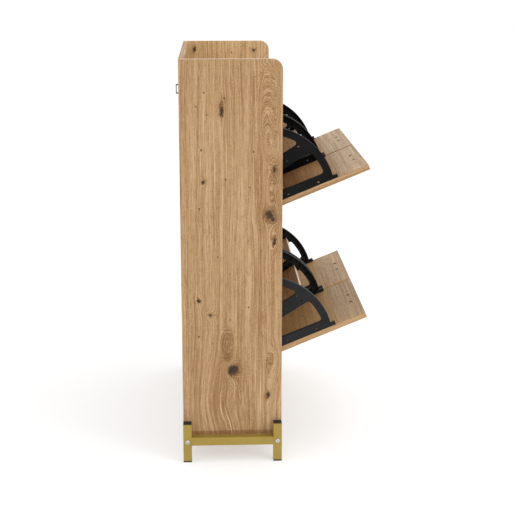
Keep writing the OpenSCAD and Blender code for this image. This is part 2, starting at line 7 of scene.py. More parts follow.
import bmesh
import bpy
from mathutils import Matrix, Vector


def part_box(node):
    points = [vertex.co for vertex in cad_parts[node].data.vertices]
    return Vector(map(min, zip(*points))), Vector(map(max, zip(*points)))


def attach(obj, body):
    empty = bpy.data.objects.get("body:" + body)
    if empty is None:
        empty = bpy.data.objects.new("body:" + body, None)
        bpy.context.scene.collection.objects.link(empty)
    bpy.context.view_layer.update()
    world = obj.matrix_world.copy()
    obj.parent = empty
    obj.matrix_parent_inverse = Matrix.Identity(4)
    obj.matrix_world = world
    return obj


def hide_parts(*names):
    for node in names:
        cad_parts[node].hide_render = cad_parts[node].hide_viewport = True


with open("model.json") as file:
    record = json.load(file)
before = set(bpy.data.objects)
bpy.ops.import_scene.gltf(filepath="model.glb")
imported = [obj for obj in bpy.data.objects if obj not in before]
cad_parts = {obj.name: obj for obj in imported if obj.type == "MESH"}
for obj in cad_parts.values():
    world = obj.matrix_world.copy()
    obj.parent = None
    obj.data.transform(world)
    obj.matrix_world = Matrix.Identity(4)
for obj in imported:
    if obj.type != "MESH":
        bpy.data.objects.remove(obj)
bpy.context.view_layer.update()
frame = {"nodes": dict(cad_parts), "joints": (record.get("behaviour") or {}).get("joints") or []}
nodes = frame["nodes"]
joints = {joint["child"]: joint for joint in frame["joints"]}
drawers = sorted(joints)
X, Y, Z = 0, 1, 2
carcass_y = sum(corner.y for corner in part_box("side_panel_left")) / 2


def paint(red, green, blue):
    """A colour given as on a paint card, 0 to 255, in the renderer's linear values."""
    def linear(c):
        c = c / 255
        return c / 12.92 if c <= 0.04045 else ((c + 0.055) / 1.055) ** 2.4
    return (linear(red), linear(green), linear(blue), 1.0)


# ---- a small language for materials ----

class Signal:
    """A number that varies over the surface. Arithmetic on it adds Math nodes."""

    def __init__(self, sheet, socket):
        self.sheet, self.socket = sheet, socket

    def __add__(self, other):
        return self.sheet.math("ADD", self, other)

    def __sub__(self, other):
        return self.sheet.math("SUBTRACT", self, other)

    def __rsub__(self, other):
        return self.sheet.math("SUBTRACT", other, self)

    def __mul__(self, other):
        return self.sheet.math("MULTIPLY", self, other)

    __radd__ = __add__
    __rmul__ = __mul__


class Sheet:
    """One material: a Principled shader and the nodes that feed it."""

    def __init__(self, name):
        self.material = bpy.data.materials.new(name)
        self.material.use_nodes = True
        self.tree = self.material.node_tree
        self.tree.nodes.clear()
        self.shader = self.tree.nodes.new("ShaderNodeBsdfPrincipled")
        output = self.tree.nodes.new("ShaderNodeOutputMaterial")
        self.tree.links.new(self.shader.outputs["BSDF"], output.inputs["Surface"])
        self.coordinates = self.tree.nodes.new("ShaderNodeTexCoord")

    def put(self, socket, value):
        if isinstance(value, Signal):
            value = value.socket
        if isinstance(value, bpy.types.NodeSocket):
            self.tree.links.new(value, socket)
        elif value is not None:
            socket.default_value = value

    def add(self, kind, *values, **settings):
        node = self.tree.nodes.new("ShaderNode" + kind)
        for name, value in settings.items():
            setattr(node, name, value)
        for socket, value in zip(node.inputs, values):
            self.put(socket, value)
        return node

    def math(self, operation, *values):
        return Signal(self, self.add("Math", *values, operation=operation).outputs[0])

    def vector(self, x=0.0, y=0.0, z=0.0):
        return self.add("CombineXYZ", x, y, z).outputs[0]

    def split(self, vector):
        return [Signal(self, socket) for socket in self.add("SeparateXYZ", vector).outputs]

    def noise(self, x, y, z=0.0, detail=3.0, roughness=0.55):
        """Cloudy noise from 0 to 1, with its mean at 0.5."""
        node = self.add("TexNoise", self.vector(x, y, z))
        node.inputs["Scale"].default_value = 1.0
        node.inputs["Detail"].default_value = detail
        node.inputs["Roughness"].default_value = roughness
        return Signal(self, node.outputs[0])

    def cells(self, x, y):
        """The place x, y in a pattern of cells, and the nearest cell's point and random colour."""
        where = self.vector(x, y)
        node = self.add("TexVoronoi", where, voronoi_dimensions="2D")
        node.inputs["Scale"].default_value = 1.0
        return where, node

    def ease(self, value, low, high):
        """0 below low and 1 above high, with a smooth step between. low may be above high."""
        node = self.add("MapRange", value, low, high, 0.0, 1.0, interpolation_type="SMOOTHSTEP")
        return Signal(self, node.outputs[0])

    def blend(self, share, first, second, how="MIX"):
        """The first colour where share is 0 and the second where it is 1."""
        node = self.add("Mix", share, data_type="RGBA", blend_type=how)
        for socket, colour in zip([s for s in node.inputs if s.type == "RGBA"], (first, second)):
            self.put(socket, colour)
        return next(s for s in node.outputs if s.type == "RGBA")

    def tint(self, share, colour, by):
        """The colour as it is where share is 0, and multiplied by another where it is 1."""
        return self.blend(share, colour, by, "MULTIPLY")

    def pick(self, share, first, second):
        """The first number where share is 0 and the second where it is 1."""
        node = self.add("Mix", share, None, first, second, data_type="FLOAT")
        return Signal(self, node.outputs[0])

    def place(self, drawer=None):
        """Where the point is and which way the surface faces, as X, Y and Z signals at rest. Y is
        measured from the carcass's middle. With a drawer, both are as if it were closed and its
        pivot were the origin."""
        origin, tip = (0, carcass_y, 0), 0.0
        if drawer:
            origin, tip = joints[drawer]["pos_m"], math.radians(joints[drawer]["range_deg"][1])
        found = []
        for output, start in (("Object", origin), ("Normal", (0, 0, 0))):
            node = self.add("Mapping", self.coordinates.outputs[output], vector_type="TEXTURE")
            node.inputs["Location"].default_value = start
            node.inputs["Rotation"].default_value = (tip, 0, 0)
            found.append(self.split(node.outputs[0]))
        return found

    def surface(self, colour, roughness, height=None, depth=0.0002, **constants):
        """Feeds the shader. height is a signal that bumps the surface by depth."""
        self.put(self.shader.inputs["Base Color"], colour)
        self.put(self.shader.inputs["Roughness"], roughness)
        if height is not None:
            bump = self.add("Bump")
            bump.inputs["Strength"].default_value = 1.0
            bump.inputs["Distance"].default_value = depth
            self.put(bump.inputs["Height"], height)
            self.put(self.shader.inputs["Normal"], bump.outputs[0])
        for name, value in constants.items():
            self.shader.inputs[name.replace("_", " ")].default_value = value
        return self.material


# ---- oak foil ----

# The foils' tones: the light and the dark grain, halos and cores of knots, pores, light flecks
# and the painted highlight of eased edges
OAK = {"light": paint(197, 163, 122), "dark": paint(137, 97, 53), "halo": paint(110, 75, 42),
       "core": paint(36, 25, 17), "pore": paint(98, 67, 38), "fleck": paint(222, 194, 156),
       "edge": paint(222, 192, 150)}
# The same oak foil painted paler, standing in for more light on the right side panel's inner face
LIT_OAK = {"light": paint(224, 192, 146), "dark": paint(166, 130, 88), "halo": paint(132, 94, 60),
            "core": paint(42, 30, 20), "pore": paint(124, 90, 58), "fleck": paint(234, 208, 168),
            "edge": paint(230, 202, 162)}
GREY_OAK = {"light": paint(204, 175, 137), "dark": paint(150, 121, 88), "halo": paint(134, 104, 74),
            "core": paint(62, 46, 34), "pore": paint(114, 90, 64), "fleck": paint(218, 199, 168),
            "edge": paint(208, 176, 134)}
LIGHT_OAK = {"light": paint(214, 184, 143), "dark": paint(158, 128, 93),
             "halo": paint(140, 110, 78), "core": paint(64, 48, 36), "pore": paint(120, 95, 68),
             "fleck": paint(226, 206, 174), "edge": paint(214, 182, 138)}

# Knots of the left side panel: place along Y from the carcass's middle and along Z, half width,
# half length above and below, how far the grain moves aside and how far it parts around them, both
# in half widths, size of the dark core, and depth of the stain. Those with no core are patches.
PANEL_KNOTS = [
    (0.027, 1.052, 0.012, 0.060, 0.034, 0.0, 1.1, 0.40, 0.9),
    (-0.110, 0.752, 0.028, 0.030, 0.030, 0.5, 1.2, 0.46, 1.0),
    (-0.120, 0.738, 0.020, 0.012, 0.012, 0.3, 0.8, 0.42, 0.6),
    (-0.126, 0.884, 0.020, 0.030, 0.034, 1.2, 0.9, 0.34, 0.8),
    (-0.124, 0.672, 0.016, 0.034, 0.030, 0.9, 1.0, 0.42, 0.8),
    (-0.004, 0.282, 0.026, 0.026, 0.030, -0.9, 1.0, 0.60, 0.8),
    (0.064, 0.455, 0.018, 0.012, 0.014, -1.2, 0.6, 0.36, 0.6),
    (0.096, 0.494, 0.011, 0.014, 0.014, 0.2, 0.9, 0.50, 0.7),
    (-0.107, 0.197, 0.012, 0.026, 0.024, 0.2, 1.0, 0.44, 0.8),
    (0.080, 0.850, 0.012, 0.012, 0.012, 0.6, 0.9, 0.48, 0.6),
    (0.084, 0.942, 0.008, 0.010, 0.010, 0.8, 0.8, 0.34, 0.5),
    (0.092, 0.772, 0.007, 0.008, 0.008, 0.6, 0.8, 0.36, 0.5),
    (-0.118, 0.325, 0.020, 0.030, 0.100, 0.8, 0.9, 0.00, 0.4),
    (-0.124, 0.815, 0.014, 0.050, 0.050, 0.7, 0.9, 0.00, 0.6),
    (0.052, 0.800, 0.030, 0.120, 0.160, 0.0, 0.0, 0.00, 0.12),
    (-0.060, 0.560, 0.024, 0.140, 0.100, 0.2, 0.0, 0.00, 0.12),
    (0.040, 0.180, 0.055, 0.120, 0.080, -0.5, 0.0, 0.00, 0.20),
]
# Arched grain: place, half width, half length above and below, bend, slope and depth of the stain
PANEL_ARCHES = [(-0.106, 1.105, 0.032, 0.085, 0.200, 34.0, 0.30, 0.25)]
# Closed eyes of rings: place, half width, half length above and below, and depth of the stain
PANEL_EYES = [(0.015, 0.364, 0.021, 0.050, 0.056, 0.62)]
# Knots of the right side panel, in the same way
RIGHT_KNOTS = [
    (0.112, 1.172, 0.013, 0.018, 0.022, 0.3, 1.0, 0.46, 0.9),
    (-0.095, 1.168, 0.011, 0.012, 0.014, 0.3, 0.9, 0.46, 0.8),
    (-0.080, 1.176, 0.006, 0.007, 0.007, 0.3, 0.9, 0.44, 0.7),
    (0.030, 0.930, 0.018, 0.030, 0.040, 0.6, 1.0, 0.42, 0.8),
    (-0.070, 0.610, 0.022, 0.034, 0.040, 0.8, 1.1, 0.46, 0.8),
    (0.074, 0.340, 0.016, 0.026, 0.030, 0.5, 1.0, 0.50, 0.8),
]
# Pin knots of the left side panel: place along Y and Z, and radius
PANEL_PINS = [
    (0.019, 1.090, 0.0026), (0.076, 1.106, 0.0026), (0.099, 1.067, 0.0020), (0.069, 1.043, 0.0018),
    (0.016, 0.857, 0.0028), (-0.064, 0.937, 0.0026), (-0.053, 0.833, 0.0022),
    (-0.068, 1.150, 0.0014), (0.062, 0.701, 0.0016), (0.040, 0.628, 0.0022), (0.005, 0.577, 0.0018),
    (-0.049, 0.475, 0.0026), (0.098, 0.386, 0.0026), (0.058, 0.364, 0.0018),
    (-0.092, 0.386, 0.0018), (0.005, 0.437, 0.0022), (0.108, 0.490, 0.0018),
]
# Handle screw holes of a door: place along X and Z from the pivot, and radius of their painted
# shade
HANDLE_HOLES = [(-0.038, 0.278, 0.0062), (0.038, 0.278, 0.0062)]
FRAME_TOP = 0.205  # height above the pivot to which a door lies between its side frames
POCKET_FADE = 0.035  # over which the frames' shade on the door fades out upwards
FOOT_SHADE = 0.012  # height of the shaded band above the base's tubes
FOOT_FADE = 0.0015  # over which that fades out, up and down
BOARD_EDGE = 0.0009  # width of a board's eased edges


def reach_of(sheet, across, along, y, z, half_width, above, below):
    """How far aside a point is from a knot's middle, in half widths, and its squared distance from
    it, in the knot's own half sizes."""
    du = (across - y) * (1 / half_width)
    up = along - z
    dv = sheet.math("MAXIMUM", up * (1 / above), up * (-1 / below))
    return du, du * du + dv * dv


def drawn_knots(sheet, across, along, torn, ragged, knots):
    """How far the grain shifts sideways, how strongly it is stained, and where the cores are."""
    shift, stain, core = 0.0, 0.0, 0.0
    for y, z, half_width, above, below, aside, part, core_size, depth in knots:
        du, away = reach_of(sheet, across, along, y, z, half_width, above, below)
        near = sheet.math("EXPONENT", away * -1.0)
        shift = shift + near * (du * (-part * half_width) + aside * half_width)
        stain = stain + near * depth
        if core_size:
            edge = math.exp(-core_size ** 2)
            rough = near + torn * 0.5 + ragged * 0.42
            core = sheet.math("MAXIMUM", core, sheet.ease(rough, edge - 0.10, edge + 0.16))
    return shift, stain, core


def drawn_figure(sheet, across, along, arches, eyes):
    """The shift and stain of arched grain and of closed eyes of rings."""
    shift, stain = 0.0, 0.0
    for y, z, half_width, above, below, bend, slope, depth in arches:
        _, away = reach_of(sheet, across, along, y, z, half_width, above, below)
        near = sheet.ease(away, 1.2, 0.35)
        off = across - y
        shift = shift + near * (off * off * bend + (along - z) * slope - off)
        stain = stain + near * depth
    for y, z, half_width, above, below, depth in eyes:
        _, away = reach_of(sheet, across, along, y, z, half_width, above, below)
        near = sheet.ease(away, 1.3, 0.7)
        shift = shift + near * (sheet.math("SQRT", away) * half_width - (across - y))
        stain = stain + near * depth
    return shift, stain


def scattered_knots(sheet, across, along, torn, ragged, seed):
    """Shift, stain and cores of knots strewn over a board, one in most cells of a pattern."""
    where, cell = sheet.cells(across * 5.5 + seed, along * 1.7 + seed * 0.37)
    away = sheet.add("VectorMath", where, cell.outputs["Position"], operation="SUBTRACT").outputs[0]
    du, dv, _ = sheet.split(away)
    chance, size, _ = sheet.split(cell.outputs["Color"])
    reach = size * 0.14 + 0.05
    near = sheet.math("EXPONENT", (du * du + dv * dv) * sheet.math("DIVIDE", -1.0, reach * reach))
    near = near * sheet.ease(chance, 0.35, 0.5)
    shift = near * (reach * 0.22 - du * 0.17)
    return shift, near, sheet.ease(near + torn * 0.4 + ragged * 0.3, 0.80, 0.98)


def pin_knots(sheet, across, along, pins):
    """Dark specks with a soft rim, a little longer than wide."""
    specks = 0.0
    for y, z, radius in pins:
        du = (across - y) * (1 / radius)
        dv = (along - z) * (0.8 / radius)
        speck = sheet.ease(du * du + dv * dv, 1.6, 0.3)
        specks = sheet.math("MAXIMUM", specks, speck)
    return specks


def scattered_pins(sheet, across, along, seed):
    """The same, strewn: a speck in about one cell in five of a pattern."""
    _, cell = sheet.cells(across * 21.0 + seed * 3.1, along * 9.0 + seed)
    chance, size, _ = sheet.split(cell.outputs["Color"])
    radius = sheet.ease(chance, 0.72, 0.9) * (size * 0.05 + 0.03)
    return sheet.ease(Signal(sheet, cell.outputs["Distance"]) - radius, 0.02, -0.02)


def printed_grain(sheet, grain, run, look, seed, stain, ragged):
    """The colour of the print, how light it is, and where its pores are. grain is the place across
    the grain and run the place along it, and stain darkens it into rings."""
    broad = sheet.noise(grain * 14.0, run * 0.8, seed, detail=3.0)
    stripe = sheet.noise(grain * 90.0, run * 1.6, seed + 3.0, detail=3.0, roughness=0.6)
    line = sheet.noise(grain * 330.0, run * 3.2, seed + 4.0, detail=2.0, roughness=0.6)
    dash = sheet.noise(grain * 420.0, run * 26.0, seed + 5.0, detail=3.0, roughness=0.7)
    grit = sheet.noise(grain * 900.0, run * 240.0, seed + 6.0, detail=2.0)
    pore = sheet.ease(sheet.noise(grain * 430.0, run * 30.0, seed + 7.0, detail=1.0), 0.60, 0.74)
    thread = sheet.ease(sheet.noise(grain * 300.0, run * 3.6, seed + 9.0, detail=1.0), 0.60, 0.74)
    patch = sheet.ease(sheet.noise(grain * 12.0, run * 3.0, seed + 11.0, detail=2.0), 0.40, 0.62)
    rings = sheet.math("SINE", grain * 900.0 + stripe * 8.0 + ragged * 4.0)

    tone = (0.50 + (broad - 0.5) * 0.75 + (stripe - 0.5) * 1.0 + (line - 0.5) * 1.3
            + (dash - 0.5) * 1.1 + (grit - 0.5) * 1.6)
    tone = tone - sheet.math("MINIMUM", stain, 1.0) * (rings * 0.36 + 0.20)
    colour = sheet.blend(sheet.ease(tone, -0.05, 1.05), look["dark"], look["light"])
    colour = sheet.blend(pore * 0.45, colour, look["pore"])
    colour = sheet.blend(thread * (patch * 0.6 + 0.12), colour, look["fleck"])
    return colour, tone, pore


def printed_knots(sheet, colour, look, stain, core, specks, torn, ragged):
    """The print with the knots' brown halos, their dark, cracked cores and the pin knots."""
    halo = sheet.ease(stain + torn * 0.5 + ragged * 0.3, 0.30, 1.05)
    colour = sheet.blend(halo * 0.6, colour, look["halo"])
    crack = sheet.ease(torn + ragged * 0.4, 0.02, 0.32)
    colour = sheet.blend(core * 0.92, colour, sheet.blend(crack, look["core"], look["halo"]))
    return sheet.blend(specks * 0.75, colour, look["core"])


def highlit_edges(sheet, colour, look, facing, highlit_sides, share):
    """The colour with painted highlights on its rounded edges, paler on edges facing the given
    ways.
    """
    flat = sheet.math("MAXIMUM", *(sheet.math("ABSOLUTE", facing[axis]) for axis in (X, Y)))
    flat = sheet.math("MAXIMUM", flat, sheet.math("ABSOLUTE", facing[Z]))
    # painted highlight on the eased, rounded edges
    colour = sheet.blend(sheet.ease(flat, 0.985, 0.90) * 0.8, colour, look["edge"])
    # stronger painted highlight on the sides that face the given ways
    for axis, sign in highlit_sides:
        edge = sheet.ease(facing[axis] * sign, 0.6, 0.8)
        colour = sheet.blend(edge * share, colour, paint(236, 224, 204))
    return colour


def oak(name, along, across, look, seed, drawer=None, knots=(), arches=(), eyes=(), pins=(),
        strewn=True, highlit_sides=(), pocket=None, pocket_shade_tint=None, bores=(), foot=None):
    """Printed oak foil. Its grain runs along one axis, and turns along the edge on end faces.
    pocket is the height on a door below which its inner face gets the painted warm shade of its
    side frames. bores are the places along X and Z of the holes in it, and the radii of the painted
    shade in and around them. foot is the top of the base's tubes, whose painted shadow darkens a
    narrow band of the board."""
    sheet = Sheet(name)
    point, facing = sheet.place(drawer)
    through = X + Y + Z - along - across
    end = sheet.math("GREATER_THAN", sheet.math("ABSOLUTE", facing[along]), 0.7)
    run = sheet.pick(end, point[along], point[across])
    side = sheet.pick(end, point[across], point[along])

    # the place on the board as slow and fine waves bend it, and two noises that fray the knots
    slow = sheet.noise(side * 5.0 + seed, run * 0.9, seed * 1.3, detail=2.0)
    quick = sheet.noise(side * 22.0, run * 5.0 + seed, seed, detail=2.0)
    drift = sheet.noise(side * 34.0, run * 24.0, seed + 2.0, detail=2.0)
    torn = sheet.noise(side * 260.0, run * 170.0, seed, detail=2.0) - 0.5
    ragged = sheet.noise(side * 120.0 + 7.0, run * 80.0, seed + 1.0, detail=2.0) - 0.5
    bent_side = side + (drift - 0.5) * 0.018 + torn * 0.006
    bent_run = run + (quick - 0.5) * 0.020 + torn * 0.010

    # what the knots do to the grain
    shift, stain, core = drawn_knots(sheet, bent_side, bent_run, torn, ragged, knots)
    figure_shift, figure_stain = drawn_figure(sheet, bent_side, bent_run, arches, eyes)
    shift = shift + figure_shift
    stain = stain + figure_stain
    specks = pin_knots(sheet, side + torn * 0.003, run, pins)
    if strewn:
        more_shift, more_stain, more_core = scattered_knots(sheet, bent_side, bent_run, torn,
                                                            ragged, seed)
        shift = shift + more_shift
        stain = stain + more_stain
        core = sheet.math("MAXIMUM", core, more_core)
    if strewn and not drawer:
        specks = sheet.math("MAXIMUM", specks, scattered_pins(sheet, side, run, seed))
    waves = (slow - 0.5) * 0.05 + (quick - 0.5) * 0.006
    grain = side + point[through] + shift + waves

    colour, tone, pore = printed_grain(sheet, grain, run, look, seed, stain, ragged)
    colour = printed_knots(sheet, colour, look, stain, core, specks, torn, ragged)
    # painted shade: a warm tint on the door's inner face below its side frames' top
    if pocket:
        shade = sheet.ease(point[Z], pocket + POCKET_FADE, pocket) * sheet.ease(facing[Y], 0.3, 0.6)
        colour = sheet.tint(shade, colour, pocket_shade_tint)
    # painted shade in and around the handle screw holes
    for x, z, radius in bores:
        off_x = point[X] - x
        off_z = point[Z] - z
        away = sheet.math("SQRT", off_x * off_x + off_z * off_z)
        bore_shade = sheet.ease(away, radius * 1.08, radius * 0.98)
        colour = sheet.blend(bore_shade, colour, paint(34, 25, 19))
    if drawer:
        colour = sheet.tint(end, colour, paint(250, 236, 216))
    # painted highlights on the eased edges and on the given sides
    colour = highlit_edges(sheet, colour, look, facing, highlit_sides, 0.8 if drawer else 0.5)
    # painted shadow of the base's tubes on a narrow band of the board
    if foot:
        shade_top = foot + FOOT_SHADE
        shade = sheet.ease(point[Z], shade_top + FOOT_FADE, shade_top - FOOT_FADE)
        colour = sheet.tint(shade, colour, paint(222, 208, 196))
    roughness = 0.52 - (tone - 0.5) * 0.12 + pore * 0.1
    relief = tone * 0.6 - pore * 0.6 - core * 0.8 - specks * 0.5
    return sheet.surface(colour, roughness, relief, depth=0.00025, Specular_IOR_Level=0.3)


def raw_fibreboard(name, look):
    """Hardboard: printed inside, bare brown fibres on its rear face."""
    sheet = Sheet(name)
    point, facing = sheet.place()
    stripe = sheet.noise(point[X] * 70.0, point[Z] * 2.2, 4.0, roughness=0.6)
    broad = sheet.noise(point[X] * 15.0, point[Z] * 0.8, 2.0)
    print_tone = (broad - 0.5) * 0.9 + (stripe - 0.5) + 0.5
    printed = sheet.blend(sheet.ease(print_tone, 0.1, 0.95), look["dark"], look["light"])
    fibre = sheet.noise(point[X] * 900.0, point[Z] * 700.0, 1.0, detail=2.0)
    cloud = sheet.noise(point[X] * 24.0, point[Z] * 24.0, 1.0)
    bare_tone = (fibre - 0.5) * 1.1 + (cloud - 0.5) * 0.3 + 0.5
    bare = sheet.blend(sheet.ease(bare_tone, 0.15, 0.9), paint(126, 96, 68), paint(166, 134, 98))
    rear = sheet.ease(facing[Y], 0.4, 0.6)
    return sheet.surface(sheet.blend(rear, printed, bare), sheet.pick(rear, 0.5, 0.82),
                         fibre * rear, depth=0.00012, Specular_IOR_Level=0.3)


def beech(name):
    """Plain beech with fine flecks."""
    sheet = Sheet(name)
    point, _ = sheet.place()
    fleck = sheet.noise(point[Y] * 700.0, point[Z] * 700.0, point[X] * 60.0)
    colour = sheet.blend(sheet.ease(fleck, 0.35, 0.7), paint(196, 158, 112), paint(226, 194, 150))
    return sheet.surface(colour, 0.6 + fleck * 0.1, fleck, Specular_IOR_Level=0.3)


# ---- plastic, lacquer and metal ----

def moulded_plastic(name, shade, roughness, drawer=None, gloss=0.25):
    """Matt moulded plastic with an even grained texture and faint flow marks."""
    sheet = Sheet(name)
    point, _ = sheet.place(drawer)
    grit = sheet.noise(point[X] * 1500.0, point[Y] * 1500.0, point[Z] * 1500.0, detail=2.0)
    flow = sheet.noise(point[X] * 30.0, point[Y] * 18.0, point[Z] * 18.0, detail=3.0)
    tone = (flow - 0.5) * 0.9 + (grit - 0.5) * 0.5 + 0.5
    lifted = tuple(min(1.0, channel * 1.9 + 0.004) for channel in shade[:3]) + (1.0,)
    return sheet.surface(sheet.blend(sheet.ease(tone, 0.1, 1.0), shade, lifted),
                         roughness + (grit - 0.5) * 0.12 + (flow - 0.5) * 0.1, grit,
                         depth=0.00006, Specular_IOR_Level=gloss)


def gold_lacquer(name, drawer=None):
    """Satin olive-gold paint over steel, with fine metal flake and a slight orange peel."""
    sheet = Sheet(name)
    point, _ = sheet.place(drawer)
    flake = sheet.noise(point[X] * 2600.0, point[Y] * 2600.0, point[Z] * 2600.0, detail=1.0)
    peel = sheet.noise(point[X] * 260.0, point[Y] * 260.0, point[Z] * 260.0, detail=2.0)
    cloud = sheet.noise(point[X] * 12.0, point[Y] * 12.0, point[Z] * 12.0, detail=2.0)
    tone = (flake - 0.5) * 0.8 + (cloud - 0.5) * 0.5 + (peel - 0.5) * 0.3 + 0.5
    colour = sheet.blend(sheet.ease(tone, 0.1, 0.9), paint(150, 126, 54), paint(172, 148, 74))
    return sheet.surface(colour, 0.45 + (peel - 0.5) * 0.1, peel, depth=0.00005,
                         Metallic=0.3, Specular_IOR_Level=0.35)


def metal(name, dark, light, roughness, drawer=None, metallic=0.95):
    """Plated or blackened steel with a fine cloudy finish."""
    sheet = Sheet(name)
    point, _ = sheet.place(drawer)
    fine = sheet.noise(point[X] * 1800.0, point[Y] * 1800.0, point[Z] * 1800.0, detail=2.0)
    cloud = sheet.noise(point[X] * 180.0, point[Y] * 180.0, point[Z] * 180.0, detail=3.0)
    tone = (fine - 0.5) * 0.5 + (cloud - 0.5) * 0.9 + 0.5
    return sheet.surface(sheet.blend(sheet.ease(tone, 0.1, 0.9), dark, light),
                         roughness + (cloud - 0.5) * 0.25, fine, depth=0.00003, Metallic=metallic)


# ---- screws and bolts ----

def hexagon(reach):
    """The distance from the centre to a hexagon's side, by angle. reach is to its corners."""
    def radius(angle):
        return reach * math.cos(math.pi / 6) / math.cos((angle % (math.pi / 3)) - math.pi / 6)
    return radius


def cross(length, half_width):
    """The same for a cross with four arms."""
    def radius(angle):
        off = (angle + math.pi / 4) % (math.pi / 2) - math.pi / 4
        return min(length / math.cos(off), half_width / max(abs(math.sin(off)), 1e-6))
    return radius


def islands(part):
    """The separate solids of a node, as lists of their points."""
    mesh = bmesh.new()
    mesh.from_mesh(part.data)
    bmesh.ops.remove_doubles(mesh, verts=mesh.verts, dist=0.000004)
    seen, found = set(), []
    for start in mesh.verts:
        if start in seen:
            continue
        seen.add(start)
        group = [start]
        for vert in group:
            for edge in vert.link_edges:
                other = edge.other_vert(vert)
                if other not in seen:
                    seen.add(other)
                    group.append(other)
        found.append([vert.co.copy() for vert in group])
    mesh.free()
    return found


def measure(points):
    """A headed pin's top, axis and length, its head's radius and height, and its shank's radius."""
    pairs = [(p, q) for p in points[::3] for q in points[::3]]
    a, b = max(pairs, key=lambda pair: (pair[0] - pair[1]).length)
    middle = sum(points, Vector()) / len(points)
    axis = (b - a).normalized()
    for _ in range(30):  # each round turns the axis closer to the points' main direction
        spread = [(p - middle).dot(axis) for p in points]
        axis = sum(((p - middle) * k for p, k in zip(points, spread)), Vector()).normalized()
    along = [(p - middle).dot(axis) for p in points]
    off = [((p - middle) - axis * k).length for p, k in zip(points, along)]
    centre = sum(((p - axis * k) for p, k in zip(points, along)), Vector()) / len(points)
    if off[along.index(min(along))] < off[along.index(max(along))]:
        axis, along = -axis, [-k for k in along]
    top = min(along)
    widest = max(off)
    neck = max(k for k, r in zip(along, off) if r > 0.98 * widest) - top
    shank = max(r for k, r in zip(along, off) if k > top + neck + 0.0002)
    return centre + axis * top, axis, max(along) - top, widest, neck, shank


def profile(length, head_r, head_t, shank_r, kind):
    """A fastener's rings from the floor of its socket over its head and thread to its point. Each
    is a depth under the top of the head and a radius, which may go by the angle."""
    if kind == "button":
        socket, socket_depth = hexagon(head_r * 0.42), head_t * 0.6
        dome, pitch = head_t * 0.55, 0.0009
    else:
        socket, socket_depth = cross(head_r * 0.62, head_r * 0.15), head_t * 0.55
        dome, pitch = head_t * 0.3, 0.0011
    rings = [(socket_depth * 1.1, 0.0), (socket_depth, lambda angle: socket(angle) * 0.6),
             (0.00008, socket)]
    dome_steps, inner = 5, head_r * 0.5
    for step in range(1, dome_steps + 1):
        share = step / dome_steps
        rings.append((dome * share ** 2.2, inner + (head_r * 0.985 - inner) * share))
    rings += [(dome + (head_t - dome) * 0.12, head_r), (head_t * 0.92, head_r),
              (head_t, head_r * 0.97), (head_t, shank_r * 0.96)]
    collar, root_r = 0.001, shank_r * 0.82
    for turn in range(int((length - head_t - shank_r * 1.2 - collar) / pitch)):
        start = head_t + collar + turn * pitch
        rings += [(start, root_r), (start + pitch * 0.35, shank_r),
                  (start + pitch * 0.55, shank_r), (start + pitch * 0.9, root_r)]
    point = [(length - shank_r * 0.5, shank_r * 0.78), (length, shank_r * 0.3), (length, 0.0)]
    return rings + point


def lathe(mesh, top, axis, rings, segments):
    """Adds a closed solid turned about an axis. The first and the last ring are single points."""
    side = axis.orthogonal().normalized()
    other = axis.cross(side)
    start, *loops, tip = rings
    first = mesh.verts.new(top + axis * start[0])
    last = None
    for depth, radius in loops:
        loop = []
        for k in range(segments):
            angle = math.tau * k / segments
            r = radius(angle) if callable(radius) else radius
            out = side * math.cos(angle) + other * math.sin(angle)
            loop.append(mesh.verts.new(top + axis * depth + out * r))
        for k in range(segments):
            after = (k + 1) % segments
            if last is None:
                mesh.faces.new((first, loop[after], loop[k]))
            else:
                mesh.faces.new((last[k], last[after], loop[after], loop[k]))
        last = loop
    end = mesh.verts.new(top + axis * tip[0])
    for k in range(segments):
        mesh.faces.new((last[k], last[(k + 1) % segments], end))


def turned(name, fasteners, body, node, material, segments):
    """One piece with every fastener of a node: lathed heads, sockets, threads and points."""
    mesh = bmesh.new()
    for top, axis, *sizes in fasteners:
        lathe(mesh, top, axis, profile(*sizes), segments)
    bmesh.ops.recalc_face_normals(mesh, faces=mesh.faces)
    for face in mesh.faces:
        face.smooth = True
    data = bpy.data.meshes.new(name)
    mesh.to_mesh(data)
    mesh.free()
    data.set_sharp_from_angle(angle=math.radians(38))
    piece = bpy.data.objects.new(name, data)
    bpy.context.scene.collection.objects.link(piece)
    data.materials.append(material)
    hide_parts(node)
    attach(piece, body)


def make_fasteners():
    """Turned fasteners: hexagon socket bolts with wide heads, and cross-headed screws."""
    found = [measure(points) for points in islands(nodes["frame_bolts"])]
    widest = max(head_r for _, _, _, head_r, _, _ in found)
    bolts = [(*sizes, "button" if sizes[3] > 0.98 * widest else "pan") for sizes in found]
    zinc = metal("zinc_bolt", paint(172, 172, 176), paint(214, 214, 216), 0.28)
    turned("frame_bolts_turned", bolts, "carcass", "frame_bolts", zinc, 48)
    for drawer in drawers:
        name = drawer.removesuffix("_drawer")
        screws = [(*measure(points), "pan") for points in islands(nodes[name + "_screws"])]
        dark = metal("screw_steel_" + name, paint(15, 15, 16), paint(30, 30, 32), 0.6, drawer, 0.0)
        turned(name + "_screws_turned", screws, drawer, name + "_screws", dark, 32)


# ---- pieces that keep their own mesh ----

def finish_nodes(names, material, edge=None):
    """Gives nodes a material and eases their edges by a small width."""
    for name in names:
        part = nodes[name]
        if not part.material_slots:
            part.data.materials.append(material)
        for held in part.material_slots:
            held.material = material
        weld = part.modifiers.new("weld", "WELD")
        weld.merge_threshold = 0.000004
        if edge:
            bevel = part.modifiers.new("eased_edges", "BEVEL")
            bevel.width = edge
            bevel.segments = 2
            bevel.limit_method = "ANGLE"
            bevel.angle_limit = math.radians(40)
            bevel.harden_normals = False
        smooth = part.modifiers.new("even_shading", "WEIGHTED_NORMAL")
        smooth.keep_sharp = False
        smooth.weight = 100


